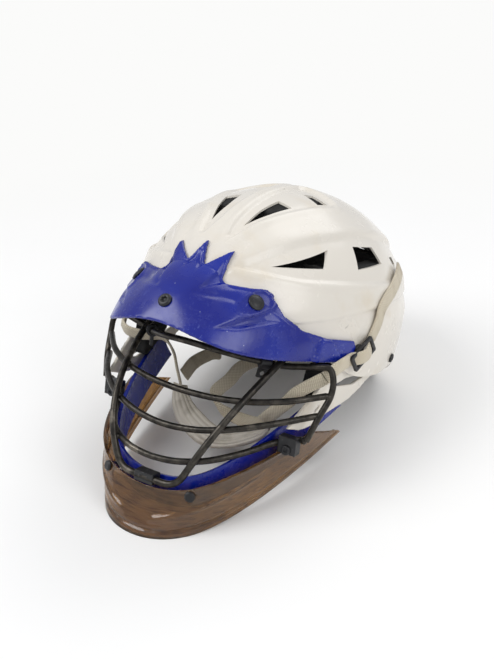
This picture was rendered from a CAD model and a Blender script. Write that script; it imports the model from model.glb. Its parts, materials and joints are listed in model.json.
"""Looks of a lacrosse helmet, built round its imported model.

The helmet is drawn as it is worn: millimetres, origin at the centre of the head form, the face
along -Y, the wearer's left along +X and +Z up. RestingPose then tips it back on to the table.
"""

from __future__ import annotations

import json
import logging
import math
from collections.abc import Callable, Iterable, Mapping, Sequence
from dataclasses import dataclass, field
from enum import Enum

import bmesh
import bpy
import numpy as np
from mathutils import Matrix, Vector

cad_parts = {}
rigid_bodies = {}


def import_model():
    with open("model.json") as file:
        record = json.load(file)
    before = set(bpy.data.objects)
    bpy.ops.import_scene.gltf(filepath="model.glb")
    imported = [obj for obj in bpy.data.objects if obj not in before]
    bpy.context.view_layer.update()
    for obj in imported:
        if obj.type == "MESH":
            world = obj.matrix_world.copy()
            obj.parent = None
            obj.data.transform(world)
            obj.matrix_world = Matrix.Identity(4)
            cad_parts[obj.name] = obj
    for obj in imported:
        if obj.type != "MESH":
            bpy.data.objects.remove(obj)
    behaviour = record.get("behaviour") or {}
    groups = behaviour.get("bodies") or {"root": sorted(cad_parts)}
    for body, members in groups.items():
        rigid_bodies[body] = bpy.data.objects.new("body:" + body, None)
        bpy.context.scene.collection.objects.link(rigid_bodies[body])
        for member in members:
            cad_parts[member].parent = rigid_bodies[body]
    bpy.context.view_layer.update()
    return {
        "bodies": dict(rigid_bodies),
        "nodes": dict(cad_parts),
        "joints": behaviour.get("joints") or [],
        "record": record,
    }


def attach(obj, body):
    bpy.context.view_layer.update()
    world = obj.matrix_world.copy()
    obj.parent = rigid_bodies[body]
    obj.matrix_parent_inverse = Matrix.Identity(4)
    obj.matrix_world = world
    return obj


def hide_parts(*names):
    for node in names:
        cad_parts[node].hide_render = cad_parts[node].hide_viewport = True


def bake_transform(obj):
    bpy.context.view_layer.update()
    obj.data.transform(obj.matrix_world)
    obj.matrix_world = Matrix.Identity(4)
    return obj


LOG = logging.getLogger("helmet")
MM = 0.001
SIDES = ((1, "left"), (-1, "right"))
# Where the chin strap's axis passes in the worn frame.
AXIS_PLACE = (0.0, -91.35, -28.3)
# Vertices that are nearer than this are one.
DOUBLE_MM = 0.001
# One pass of relaxing: a step in, then a step back out.
RELAX_FACTORS = (0.6, -0.62)
# Share of a fastener's height in which its foot lies.
FOOT_SHARE = 0.25
# Share of the shorter run beside a wire's corner that its turn takes up.
TURN_SHARE = 0.45
WIRE_SIDES = 20
BEAD_SMALLEST = (0.85, 0.85, 0.85)
BEAD_LARGEST = (1.1, 1.1, 1.1)
Point = tuple[float, float, float]
Share = tuple[float, float]
Station = tuple[Point, Point]
Face = tuple[int, ...]
Piece = bpy.types.Object
Tree = bpy.types.NodeTree
Socket = bpy.types.NodeSocket
Material = bpy.types.Material


class Slot(Enum):
    """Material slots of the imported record."""

    SHELL = "shell_white"
    VISOR = "visor_blue"
    METAL = "mask_metal"
    CLEAR = "throat_clear"
    FOAM = "foam_black"
    STRAP = "strap_cream"
    CUP = "cup_grey"
    FITTING = "fitting_black"


class Body(Enum):
    """Bodies that pieces ride on."""

    HELMET = "helmet"
    CHIN_STRAP = "chin_strap"


# Frames and head form


@dataclass(frozen=True)
class RestingPose:
    """How the worn frame lies on the table: tipped back about X, then moved."""

    centre: Point
    pitch_degrees: float = 17.1

    @property
    def turn(self) -> np.ndarray:
        """Rotation from the worn frame to the row frame."""
        pitch = math.radians(self.pitch_degrees)
        c, s = math.cos(pitch), math.sin(pitch)
        return np.array(((1, 0, 0), (0, c, s), (0, -s, c)))

    def rows(self, points: np.ndarray | Sequence[Point]) -> np.ndarray:
        """Turn worn millimetres, x, y and z along the last axis, into row-frame metres."""
        return (np.asarray(points, float) @ self.turn.T + np.array(self.centre)) * MM

    def worn(self, points: np.ndarray) -> np.ndarray:
        """Turn row-frame metres into worn millimetres."""
        return (np.asarray(points, float) / MM - np.array(self.centre)) @ self.turn

    @classmethod
    def from_joint(cls, joint: Mapping[str, object], axis_place: Point) -> RestingPose:
        """Read the frame from the chin strap's joint, whose worn place is known.

        Args:
            joint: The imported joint.
            axis_place: Where its axis passes in the worn frame.

        Returns:
            The resting pose.
        """
        upright = cls((0.0, 0.0, 0.0))
        offset = np.array(joint["pos_m"]) / MM - upright.rows([axis_place])[0] / MM
        return cls((0.0, float(offset[1]), float(offset[2])))


@dataclass(frozen=True)
class HeadForm:
    """Two half ellipsoids that share their widest section."""

    half_width: float = 113.0
    half_length: float = 153.5
    crown: float = 107.0
    skirt: float = 165.0

    def axes(self, points: np.ndarray, grow: float) -> np.ndarray:
        """Half axes that apply at each point.

        Args:
            points: Worn points.
            grow: How far the form is grown.

        Returns:
            One row of three half axes for each point.
        """
        height = np.where(points[:, 2] > 0, self.crown, self.skirt) + grow
        width, length = self.half_width + grow, self.half_length + grow
        return np.stack((np.full(len(points), width), np.full(len(points), length), height), axis=1)

    def gap(self, points: np.ndarray, grow: float = 0.0) -> tuple[np.ndarray, np.ndarray]:
        """Signed distance from the grown form, and the outward normals.

        Args:
            points: Worn points.
            grow: How far the form is grown.

        Returns:
            Distances, negative inside, and unit normals.
        """
        axes = self.axes(points, grow)
        level = np.linalg.norm(points / axes, axis=1)
        gradient = points / axes**2 / np.maximum(level, 1e-9)[:, None]
        steep = np.linalg.norm(gradient, axis=1)
        return (level - 1) / steep, gradient / steep[:, None]

    def from_shares(self, shares: Sequence[Share], view: str) -> np.ndarray:
        """Points in a view such as yz, in millimetres, from shares of the form's half sizes."""
        sizes = {"x": self.half_width, "y": self.half_length, "z": self.crown}
        return np.array(shares) * [sizes[axis] for axis in view]

    def from_directions(self, directions: np.ndarray, grow: float = 0.0) -> np.ndarray:
        """Points of the grown form over unit directions."""
        return directions * self.axes(directions, grow)

    def reach(self, x: float, z: float, grow: float = 0.0) -> float:
        """How far forward the grown form lies at x and z."""
        height = (self.crown if z > 0 else self.skirt) + grow
        left = 1 - (x / (self.half_width + grow)) ** 2 - (z / height) ** 2
        return (self.half_length + grow) * math.sqrt(max(left, 0))

    def width(self, y: float, z: float, grow: float = 0.0) -> float:
        """Half the width of the grown form at y and z."""
        height = (self.crown if z > 0 else self.skirt) + grow
        left = 1 - (y / (self.half_length + grow)) ** 2 - (z / height) ** 2
        return (self.half_width + grow) * math.sqrt(max(left, 0))


# Small mesh tools


def smooth_step(values: np.ndarray) -> np.ndarray:
    """Ease values from 0 to 1."""
    t = np.clip(values, 0, 1)
    return t * t * (3 - 2 * t)


def bell(values: np.ndarray | float, width: float) -> np.ndarray | float:
    """A smooth hump: 1 where a value is 0, and nearly 0 from twice the width."""
    return np.exp(-(values / width) ** 2)


def bunched(half_width: float, count: int) -> np.ndarray:
    """Places across a width that lie closer together towards its ends."""
    return half_width * np.sin(np.linspace(-math.pi / 2, math.pi / 2, count))


def folded(points: np.ndarray) -> np.ndarray:
    """2-D points with those of the wearer's right mirrored to the left."""
    return np.stack((np.abs(points[:, 0]), points[:, 1]), axis=1)


def smooth_line(points: Sequence[Sequence[float]], steps: int) -> np.ndarray:
    """A smooth curve through points.

    Args:
        points: The points, in any number of dimensions.
        steps: Pieces between two neighbouring points.

    Returns:
        Sampled points, both ends included.
    """
    p = np.asarray(points, float)
    ends = np.vstack((2 * p[0] - p[1], p, 2 * p[-1] - p[-2]))
    out = []
    for a, b, c, d in zip(ends, ends[1:], ends[2:], ends[3:]):
        for t in np.arange(steps) / steps:
            square, cube = 2 * a - 5 * b + 4 * c - d, 3 * b - a - 3 * c + d
            out.append(b + ((c - a) * t + square * t**2 + cube * t**3) / 2)
    return np.array(out + [p[-1]])


def line_distance(points: np.ndarray, line: np.ndarray, closed: bool = False) -> np.ndarray:
    """Distance from 2-D points to a line of segments.

    Args:
        points: The points.
        line: Corners of the line.
        closed: Whether the last corner joins the first.

    Returns:
        A distance for each point, negative inside a closed line.
    """
    ends = np.roll(line, -1, axis=0) if closed else line[1:]
    starts = line if closed else line[:-1]
    best = np.full(len(points), np.inf)
    inside = np.zeros(len(points), bool)
    for a, b in zip(starts, ends):
        run = b - a
        t = np.clip(((points - a) @ run) / max(run @ run, 1e-12), 0, 1)
        best = np.minimum(best, np.linalg.norm(points - a - t[:, None] * run, axis=1))
        if closed and a[1] != b[1]:
            crosses = (a[1] > points[:, 1]) != (b[1] > points[:, 1])
            inside ^= crosses & (points[:, 0] < run[0] * (points[:, 1] - a[1]) / run[1] + a[0])
    return np.where(inside, -best, best) if closed else best


def unit(vectors: np.ndarray) -> np.ndarray:
    """The same directions with a length of one."""
    return vectors / np.linalg.norm(vectors, axis=-1, keepdims=True)


def linked(name: str, mesh: bpy.types.Mesh) -> Piece:
    """A new object in the scene that holds this mesh."""
    piece = bpy.data.objects.new(name, mesh)
    bpy.context.scene.collection.objects.link(piece)
    return piece


def new_piece(name: str, points: np.ndarray, faces: Iterable[Sequence[int]] = (),
              smooth: bool = True, edges: Iterable[Sequence[int]] = ()) -> Piece:
    """Link a new mesh object.

    Args:
        name: Name of the piece.
        points: Vertex places in row-frame metres.
        faces: Vertex numbers of each face.
        smooth: Whether faces shade smoothly.
        edges: Vertex numbers of each loose edge.

    Returns:
        The object, at the origin.
    """
    mesh = bpy.data.meshes.new(name)
    mesh.from_pydata(points.reshape(-1, 3).tolist(), list(edges), [list(face) for face in faces])
    mesh.validate()
    mesh.shade_smooth() if smooth else mesh.shade_flat()
    return linked(name, mesh)


def joined(name: str, parts: Sequence[Piece]) -> Piece:
    """Put parts into one mesh, as they are, and delete them.

    Args:
        name: Name of the new piece.
        parts: The parts.

    Returns:
        The new piece.
    """
    work = bmesh.new()
    for part in parts:
        work.from_mesh(part.data)
    mesh = bpy.data.meshes.new(name)
    work.to_mesh(mesh)
    work.free()
    for part in parts:
        bpy.data.objects.remove(part)
    return linked(name, mesh)


def grid_faces(rows: int, columns: int, wrap: bool = False, start: int = 0) -> list[Face]:
    """Quads of a grid of vertices.

    Args:
        rows: Number of rows.
        columns: Vertices in a row.
        wrap: Whether each row closes on itself.
        start: Number of the first vertex.

    Returns:
        The faces.
    """
    faces = []
    for i in range(rows - 1):
        for j in range(columns if wrap else columns - 1):
            k = (j + 1) % columns
            a, b = start + i * columns, start + (i + 1) * columns
            faces.append((a + j, a + k, b + k, b + j))
    return faces


def grid_normals(grid: np.ndarray) -> np.ndarray:
    """Unit normals of a grid of points, all to one side of it."""
    return unit(np.cross(np.gradient(grid, axis=1), np.gradient(grid, axis=0)))


def forward_normals(grid: np.ndarray) -> np.ndarray:
    """Unit normals of a grid of points that face forward at its middle."""
    normal = grid_normals(grid)
    return -normal * np.sign(normal[len(grid) // 2, grid.shape[1] // 2, 1])


def slab(name: str, outer: np.ndarray, inner: np.ndarray) -> Piece:
    """A closed sheet between two grids of the same size.

    Args:
        name: Name of the piece.
        outer: Grid of row-frame points of the outer face.
        inner: Grid of row-frame points of the inner face.

    Returns:
        The closed piece with outward faces.
    """
    rows, columns = outer.shape[:2]
    count = rows * columns
    faces = grid_faces(rows, columns)
    faces += [tuple(reversed([i + count for i in face])) for face in faces]
    edge = list(range(columns))
    edge += [i * columns + columns - 1 for i in range(1, rows)]
    edge += [(rows - 1) * columns + j for j in range(columns - 2, -1, -1)]
    edge += [i * columns for i in range(rows - 2, 0, -1)]
    faces += [(b, a, a + count, b + count) for a, b in zip(edge, edge[1:] + edge[:1])]
    piece = new_piece(name, np.concatenate((outer.reshape(-1, 3), inner.reshape(-1, 3))), faces)
    return outward(piece)


def outward(piece: Piece, turn: bool = True) -> Piece:
    """Merge doubles and point all faces out of a closed piece.

    Args:
        piece: The closed piece.
        turn: Whether faces are turned, or stay as they point.

    Returns:
        The same piece.
    """
    work = bmesh.new()
    work.from_mesh(piece.data)
    bmesh.ops.remove_doubles(work, verts=work.verts, dist=DOUBLE_MM * MM)
    if turn:
        bmesh.ops.recalc_face_normals(work, faces=work.faces)
    work.to_mesh(piece.data)
    work.free()
    return piece


def places(piece: Piece) -> np.ndarray:
    """Vertex places of a piece."""
    points = np.empty(len(piece.data.vertices) * 3)
    piece.data.vertices.foreach_get("co", points)
    return points.reshape(-1, 3)


def normals(piece: Piece) -> np.ndarray:
    """Vertex normals of a piece."""
    found = np.empty(len(piece.data.vertices) * 3)
    piece.data.vertices.foreach_get("normal", found)
    return found.reshape(-1, 3)


def set_places(piece: Piece, points: np.ndarray) -> None:
    """Move the vertices of a piece."""
    piece.data.vertices.foreach_set("co", points.ravel())
    piece.data.update()


def baked(piece: Piece) -> Piece:
    """Apply a piece's modifiers."""
    bpy.context.view_layer.update()
    graph = bpy.context.evaluated_depsgraph_get()
    mesh = bpy.data.meshes.new_from_object(piece.evaluated_get(graph))
    old = piece.data
    piece.modifiers.clear()
    piece.data = mesh
    bpy.data.meshes.remove(old)
    return piece


def rounded(piece: Piece, width_mm: float, angle: float = 40.0) -> Piece:
    """Round the sharp edges of a piece.

    Args:
        piece: A closed piece.
        width_mm: Width of the rounding.
        angle: Edges sharper than this many degrees are rounded.

    Returns:
        The same piece.
    """
    bevel = piece.modifiers.new("rounding", "BEVEL")
    bevel.width = width_mm * MM
    bevel.segments = 3
    bevel.limit_method = "ANGLE"
    bevel.angle_limit = math.radians(angle)
    bevel.use_clamp_overlap = True
    piece = baked(piece)
    piece.data.shade_smooth()
    return piece


def carved(piece: Piece, tools: Sequence[Piece],
           operation: str = "DIFFERENCE") -> Piece:
    """Combine a piece with closed tools, which are then deleted.

    Args:
        piece: The piece that is kept.
        tools: Closed meshes.
        operation: DIFFERENCE or INTERSECT.

    Returns:
        The same piece.
    """
    for tool in tools:
        cut = piece.modifiers.new("cut", "BOOLEAN")
        cut.object = tool
        cut.operation = operation
        cut.solver = "MANIFOLD"
    piece = baked(piece)
    for tool in tools:
        bpy.data.objects.remove(tool)
    return piece


def fused(name: str, parts: Sequence[Piece], voxel_mm: float, passes: int) -> Piece:
    """Melt overlapping closed parts into one softly moulded piece.

    Args:
        name: Name of the new piece.
        parts: Closed parts, which are deleted.
        voxel_mm: Size of the new mesh's cells.
        passes: How often the skin is relaxed.

    Returns:
        The new piece.
    """
    piece = joined(name, parts)
    cells = piece.modifiers.new("cells", "REMESH")
    cells.mode = "VOXEL"
    cells.voxel_size = voxel_mm * MM
    cells.use_smooth_shade = True
    return relaxed(baked(piece), passes)


def relaxed(piece: Piece, passes: int) -> Piece:
    """Smooth a dense mesh without shrinking it.

    Args:
        piece: The piece.
        passes: How often each vertex moves towards its neighbours and back.

    Returns:
        The same piece.
    """
    edges = np.empty(len(piece.data.edges) * 2, np.int64)
    piece.data.edges.foreach_get("vertices", edges)
    a, b = edges.reshape(-1, 2).T
    points = places(piece)
    degree = np.bincount(np.concatenate((a, b)), minlength=len(points))[:, None]
    for _ in range(passes):
        for factor in RELAX_FACTORS:
            columns = [np.bincount(a, points[b, k], len(points))
                       + np.bincount(b, points[a, k], len(points)) for k in range(3)]
            total = np.stack(columns, axis=1)
            points = points + factor * (total / np.maximum(degree, 1) - points)
    set_places(piece, points)
    return piece


def copied(node: Piece, name: str) -> Piece:
    """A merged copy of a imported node's mesh."""
    piece = linked(name, node.data.copy())
    piece.data.materials.clear()
    return outward(piece)


# Node trees


def add(tree: Tree, kind: str, inputs: Mapping[str | int, object] | None = None,
        **settings: object) -> bpy.types.Node:
    """Add a node with its settings and links.

    Args:
        tree: The tree that gets the node.
        kind: The node's type.
        inputs: Values, or sockets to link from, by input name or number.
        **settings: Properties of the node.

    Returns:
        The node.
    """
    made = tree.nodes.new(kind)
    for name, value in settings.items():
        setattr(made, name, value)
    for name, value in (inputs or {}).items():
        if isinstance(value, Socket):
            tree.links.new(value, made.inputs[name])
        else:
            made.inputs[name].default_value = value
    return made


def linear(hex_colour: str) -> tuple[float, float, float, float]:
    """Turn an sRGB hex colour into linear values with full alpha."""
    values = [int(hex_colour[i:i + 2], 16) / 255 for i in (1, 3, 5)]
    return (*[v / 12.92 if v <= 0.04045 else ((v + 0.055) / 1.055) ** 2.4 for v in values], 1.0)


def per_mm(size_mm: float) -> float:
    """Texture scale at which one feature is about this many millimetres."""
    return 1 / (size_mm * MM)


class Painter:
    """Builds one material's tree, with its common patterns."""

    octave_share = 0.55
    bevel_samples = 4

    def __init__(self, name: str) -> None:
        """Start an empty material.

        Args:
            name: Name of the material.
        """
        self.material = bpy.data.materials.new(name)
        self.material.use_nodes = True
        self.tree = self.material.node_tree
        self.tree.nodes.clear()
        self.place = add(self.tree, "ShaderNodeTexCoord").outputs["Object"]

    def noise(self, size_mm: float, detail: float, stretch: Point = (1, 1, 1),
              turn: Point = (0, 0, 0)) -> Socket:
        """Cloudy noise.

        Args:
            size_mm: About how large its features are.
            detail: How many finer layers it has.
            stretch: Scale along each axis.
            turn: Turn about each axis, in radians.

        Returns:
            The noise, about 0.3 to 0.7.
        """
        place = self.place
        if stretch != (1, 1, 1) or turn != (0, 0, 0):
            mapping = {"Vector": place, "Scale": stretch, "Rotation": turn}
            place = add(self.tree, "ShaderNodeMapping", mapping).outputs[0]
        given = {"Vector": place, "Scale": per_mm(size_mm), "Detail": detail,
                 "Roughness": self.octave_share}
        return add(self.tree, "ShaderNodeTexNoise", given).outputs["Fac"]

    def cells(self, size_mm: float) -> Socket:
        """Distance in a pattern of cells about size_mm across."""
        given = {"Vector": self.place, "Scale": per_mm(size_mm)}
        return add(self.tree, "ShaderNodeTexVoronoi", given, feature="F1").outputs["Distance"]

    def window(self, value: Socket, low: float, high: float, to_low: float = 0.0,
               to_high: float = 1.0) -> Socket:
        """Ease low..high of a value into to_low..to_high, clamped."""
        given = {"Value": value, "From Min": low, "From Max": high,
                 "To Min": to_low, "To Max": to_high}
        eased = add(self.tree, "ShaderNodeMapRange", given, interpolation_type="SMOOTHSTEP")
        return eased.outputs[0]

    def maths(self, operation: str, a: object, b: object = 0.0) -> Socket:
        """One sum of two values."""
        return add(self.tree, "ShaderNodeMath", {0: a, 1: b}, operation=operation).outputs[0]

    def blend(self, share: object, a: object, b: object) -> Socket:
        """Mix two colours by a share."""
        return add(self.tree, "ShaderNodeMix", {0: share, 6: a, 7: b}, data_type="RGBA").outputs[2]

    def bump(self, height: Socket, depth_mm: float,
             normal: Socket | None = None) -> Socket:
        """Turn a height into a bump.

        Args:
            height: The height, from 0 to 1.
            depth_mm: How deep the bump is where the height is 1.
            normal: The normal that it starts from, where that isn't the mesh's own.

        Returns:
            The bumped normal.
        """
        given = {"Height": height, "Strength": 1.0, "Distance": depth_mm * MM}
        if normal is not None:
            given["Normal"] = normal
        return add(self.tree, "ShaderNodeBump", given).outputs[0]

    def edge_softening(self, radius_mm: float) -> Socket:
        """A normal that rounds hard edges in shading."""
        given = {"Radius": radius_mm * MM}
        return add(self.tree, "ShaderNodeBevel", given, samples=self.bevel_samples).outputs[0]

    def finish(self, **inputs: object) -> Material:
        """End the tree in one principled shader.

        Args:
            **inputs: Its inputs, with underscores for spaces.

        Returns:
            The material.
        """
        named = {name.replace("_", " ").replace("Ior", "IOR"): value
                 for name, value in inputs.items()}
        shader = add(self.tree, "ShaderNodeBsdfPrincipled", named)
        add(self.tree, "ShaderNodeOutputMaterial", {"Surface": shader.outputs[0]})
        return self.material


# Finishes


@dataclass(frozen=True)
class GlossyShellPlastic:
    """Injection-moulded polycarbonate, gloss white: clear reflections, stains and fine scuffs."""

    base: str = "#ddd7cc"
    stain: str = "#c9b48c"
    scuff: str = "#8d8679"
    stain_mm: float = 55.0
    scuff_mm: float = 4.0
    ripple_mm: float = 14.0
    ripple_depth_mm: float = 0.004
    gloss: Share = (0.16, 0.3)
    index: float = 1.5

    def material(self) -> Material:
        """Build the material."""
        p = Painter("gloss_white_polycarbonate")
        stains = p.window(p.noise(self.stain_mm, 4), 0.52, 0.74, 0, 0.34)
        colour = p.blend(stains, linear(self.base), linear(self.stain))
        specks = p.window(p.noise(self.scuff_mm, 2, (1, 0.35, 1)), 0.70, 0.76, 0, 0.5)
        patchy = p.window(p.noise(self.stain_mm * 0.8, 2), 0.5, 0.62)
        colour = p.blend(p.maths("MULTIPLY", specks, patchy), colour, linear(self.scuff))
        gloss = p.window(p.noise(self.stain_mm * 0.4, 4), 0.35, 0.7, *self.gloss)
        normal = p.bump(p.noise(self.ripple_mm, 1), self.ripple_depth_mm)
        return p.finish(Base_Color=colour, Roughness=gloss, Normal=normal, Ior=self.index)


@dataclass(frozen=True)
class ScratchedBluePlastic:
    """Injection-moulded ABS, deep blue and glossy: pale hairline scratches and chips from use."""

    base: str = "#04147a"
    light: str = "#09238f"
    scratch: str = "#515ca8"
    chip: str = "#a3a7c4"
    cloud_mm: float = 60.0
    wear_mm: float = 34.0
    scratch_mm: float = 1.1
    scratches: tuple[tuple[Point, Point], ...] = (
        ((1, 0.05, 1), (0, 0, 0.5)), ((0.06, 1, 1), (0.2, 0, -0.3)), ((1, 0.05, 0.4), (0, 0, 1.2)))
    chip_mm: float = 7.0
    chip_patch_mm: float = 22.0
    gloss_mm: float = 14.0
    gloss: Share = (0.16, 0.36)
    ripple_mm: float = 6.0
    ripple_depth_mm: float = 0.02
    edge_mm: float = 0.7
    index: float = 1.54

    def material(self) -> Material:
        """Build the material."""
        p = Painter("gloss_blue_abs")
        clouds = p.window(p.noise(self.cloud_mm, 2), 0.35, 0.7)
        colour = p.blend(clouds, linear(self.base), linear(self.light))
        worn = p.window(p.noise(self.wear_mm, 3), 0.46, 0.64)
        for stretch, turn in self.scratches:
            lines = p.window(p.noise(self.scratch_mm, 1, stretch, turn), 0.66, 0.72, 0, 0.55)
            colour = p.blend(p.maths("MULTIPLY", lines, worn), colour, linear(self.scratch))
        chips = p.window(p.cells(self.chip_mm), 0.07, 0.045)
        sparse = p.window(p.noise(self.chip_patch_mm, 2), 0.56, 0.6)
        colour = p.blend(p.maths("MULTIPLY", chips, sparse), colour, linear(self.chip))
        gloss = p.window(p.noise(self.gloss_mm, 4), 0.35, 0.7, *self.gloss)
        soft = p.edge_softening(self.edge_mm)
        normal = p.bump(p.noise(self.ripple_mm, 2), self.ripple_depth_mm, soft)
        return p.finish(Base_Color=colour, Roughness=gloss, Normal=normal, Ior=self.index)


@dataclass(frozen=True)
class DarkPlatedSteel:
    """Drawn steel wire under dark plating: brown-grey, with soft streaks and rubbed patches."""

    base: str = "#4a4640"
    dark: str = "#2b2926"
    rubbed: str = "#7c756a"
    streak_mm: float = 7.0
    gloss_mm: float = 3.0
    gloss: Share = (0.26, 0.48)
    grain_mm: float = 1.6
    grain_depth_mm: float = 0.06

    def material(self) -> Material:
        """Build the material."""
        p = Painter("dark_plated_steel")
        streaks = p.window(p.noise(self.streak_mm, 4), 0.3, 0.7)
        colour = p.blend(streaks, linear(self.dark), linear(self.base))
        rubbed = p.window(p.noise(self.streak_mm * 2.2, 5), 0.56, 0.72, 0, 0.75)
        colour = p.blend(rubbed, colour, linear(self.rubbed))
        gloss = p.window(p.noise(self.gloss_mm, 3), 0.3, 0.7, *self.gloss)
        normal = p.bump(p.noise(self.grain_mm, 3), self.grain_depth_mm)
        return p.finish(Base_Color=colour, Metallic=0.85, Roughness=gloss, Normal=normal)


@dataclass(frozen=True)
class SmokedPolycarbonate:
    """Clear polycarbonate, tinted smoke brown: it shows what lies behind, through flow streaks."""

    tint: str = "#a97f4e"
    haze: str = "#664930"
    streak_mm: float = 2.4
    gloss_mm: float = 9.0
    gloss: Share = (0.06, 0.22)
    ripple_mm: float = 18.0
    ripple_depth_mm: float = 0.25
    edge_mm: float = 0.8
    index: float = 1.58

    def material(self) -> Material:
        """Build the material."""
        p = Painter("smoked_polycarbonate")
        streaks = p.window(p.noise(self.streak_mm, 4, (0.12, 0.3, 1.4)), 0.42, 0.72)
        colour = p.blend(streaks, linear(self.tint), linear(self.haze))
        gloss = p.window(p.noise(self.gloss_mm, 4, (0.3, 1, 1)), 0.45, 0.7, *self.gloss)
        soft = p.edge_softening(self.edge_mm)
        normal = p.bump(p.noise(self.ripple_mm, 2), self.ripple_depth_mm, soft)
        return p.finish(Base_Color=colour, Roughness=gloss, Normal=normal, Ior=self.index,
                        Transmission_Weight=0.86)


@dataclass(frozen=True)
class BeadFoam:
    """Moulded EVA foam, black: matt, with fine closed pores."""

    base: str = "#161616"
    worn: str = "#2b2a29"
    pore_mm: float = 1.8
    pore_depth_mm: float = 0.22
    wear_mm: float = 26.0

    def material(self) -> Material:
        """Build the material."""
        p = Painter("moulded_eva_foam")
        worn = p.window(p.noise(self.wear_mm, 4), 0.45, 0.72)
        colour = p.blend(worn, linear(self.base), linear(self.worn))
        normal = p.bump(p.window(p.cells(self.pore_mm), 0.12, 0.5), self.pore_depth_mm)
        return p.finish(Base_Color=colour, Roughness=0.86, Normal=normal, Specular_IOR_Level=0.35)


@dataclass(frozen=True)
class NylonWebbing:
    """Woven nylon webbing, cream and soiled.

    Its ribs are drawn twice as coarse as real, so that they show.
    """

    base: str = "#ded5c0"
    shade: str = "#b3a58a"
    soil: str = "#8f7f63"
    rib_mm: float = 2.0
    rib_depth_mm: float = 0.16
    soil_mm: float = 24.0
    fuzz_mm: float = 0.8
    fuzz_share: float = 0.6

    def material(self) -> Material:
        """Build the material."""
        p = Painter("woven_nylon_webbing")
        uv = add(p.tree, "ShaderNodeUVMap", uv_map="strap_mm").outputs[0]
        turns = 2 * math.pi / self.rib_mm
        split = add(p.tree, "ShaderNodeSeparateXYZ", {0: uv})
        across = p.maths("SINE", p.maths("MULTIPLY", split.outputs[0], turns))
        along = p.maths("SINE", p.maths("MULTIPLY", split.outputs[1], turns))
        weave = p.maths("MULTIPLY", across, along)
        colour = p.blend(p.window(weave, -1, 1), linear(self.shade), linear(self.base))
        soiled = p.window(p.noise(self.soil_mm, 5), 0.5, 0.75, 0, 0.6)
        colour = p.blend(soiled, colour, linear(self.soil))
        fuzz = p.window(p.noise(self.fuzz_mm, 3), 0.3, 0.7)
        height = p.maths("ADD", weave, p.maths("MULTIPLY", fuzz, self.fuzz_share))
        return p.finish(Base_Color=colour, Roughness=0.78, Normal=p.bump(height, self.rib_depth_mm),
                        Sheen_Weight=0.3, Specular_IOR_Level=0.3)


@dataclass(frozen=True)
class MouldedVinyl:
    """Dipped vinyl over foam, light grey: satin, with grime in its ribs."""

    base: str = "#c6beb0"
    grime: str = "#857a68"
    grime_mm: float = 16.0
    grain_mm: float = 1.4
    grain_depth_mm: float = 0.08

    def material(self) -> Material:
        """Build the material."""
        p = Painter("moulded_grey_vinyl")
        grime = p.window(p.noise(self.grime_mm, 5), 0.45, 0.74, 0, 0.6)
        colour = p.blend(grime, linear(self.base), linear(self.grime))
        normal = p.bump(p.noise(self.grain_mm, 3), self.grain_depth_mm)
        return p.finish(Base_Color=colour, Roughness=0.52, Normal=normal)


@dataclass(frozen=True)
class BlackNylon:
    """Moulded black nylon: satin, with pale rubbed specks."""

    base: str = "#141416"
    rubbed: str = "#5b5a58"
    speck_mm: float = 2.6
    gloss_mm: float = 4.0
    gloss: Share = (0.3, 0.5)
    grain_mm: float = 0.7
    grain_depth_mm: float = 0.03
    edge_mm: float = 0.3

    def material(self) -> Material:
        """Build the material."""
        p = Painter("moulded_black_nylon")
        rubbed = p.window(p.noise(self.speck_mm, 5), 0.62, 0.72, 0, 0.6)
        colour = p.blend(rubbed, linear(self.base), linear(self.rubbed))
        gloss = p.window(p.noise(self.gloss_mm, 3), 0.3, 0.7, *self.gloss)
        soft = p.edge_softening(self.edge_mm)
        normal = p.bump(p.noise(self.grain_mm, 2), self.grain_depth_mm, soft)
        return p.finish(Base_Color=colour, Roughness=gloss, Normal=normal)


FINISHES = {
    Slot.SHELL: GlossyShellPlastic(),
    Slot.VISOR: ScratchedBluePlastic(),
    Slot.METAL: DarkPlatedSteel(),
    Slot.CLEAR: SmokedPolycarbonate(),
    Slot.FOAM: BeadFoam(),
    Slot.STRAP: NylonWebbing(),
    Slot.CUP: MouldedVinyl(),
    Slot.FITTING: BlackNylon(),
}


class Bench:
    """What every sub-assembly needs: the frame, the resting pose and the finishes."""

    def __init__(self, frame: Mapping[str, object], pose: RestingPose) -> None:
        """Keep the frame and build the finishes.

        Args:
            pose: The resting pose.
        """
        self.nodes: Mapping[str, Piece] = frame["nodes"]
        self.pose = pose
        self.head = HeadForm()
        self.materials = {slot: finish.material() for slot, finish in FINISHES.items()}

    def dress(self, piece: Piece, slot: Slot, body: Body | None = Body.HELMET,
              stands_for: Sequence[str] = ()) -> Piece:
        """Give a finished piece its material, body and slot.

        Args:
            piece: The piece.
            slot: Its material slot.
            body: The body it rides on, or None where it bends between two.
            stands_for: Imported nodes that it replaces.

        Returns:
            The same piece.
        """
        piece.data.materials.clear()
        piece.data.materials.append(self.materials[slot])
        if body is not None:
            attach(piece, body.value)
        if stands_for:
            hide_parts(*stands_for)
        LOG.info("piece %s, %d faces", piece.name, len(piece.data.polygons))
        return piece

    def prism(self, outline: np.ndarray, view: str, low: float, high: float) -> Piece:
        """A closed prism over an outline.

        Args:
            outline: 2-D points in worn millimetres.
            view: Axis along which the prism runs: x, y or z.
            low: Where it starts on that axis.
            high: Where it ends.

        Returns:
            The prism.
        """
        index = "xyz".index(view)
        count = len(outline)
        points = np.vstack([np.insert(outline, index, level, axis=1) for level in (low, high)])
        faces = [tuple(range(count)), tuple(range(count, 2 * count))]
        faces += [(i, (i + 1) % count, (i + 1) % count + count, i + count) for i in range(count)]
        return outward(new_piece("tool", self.pose.rows(points), faces, smooth=False))


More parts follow.
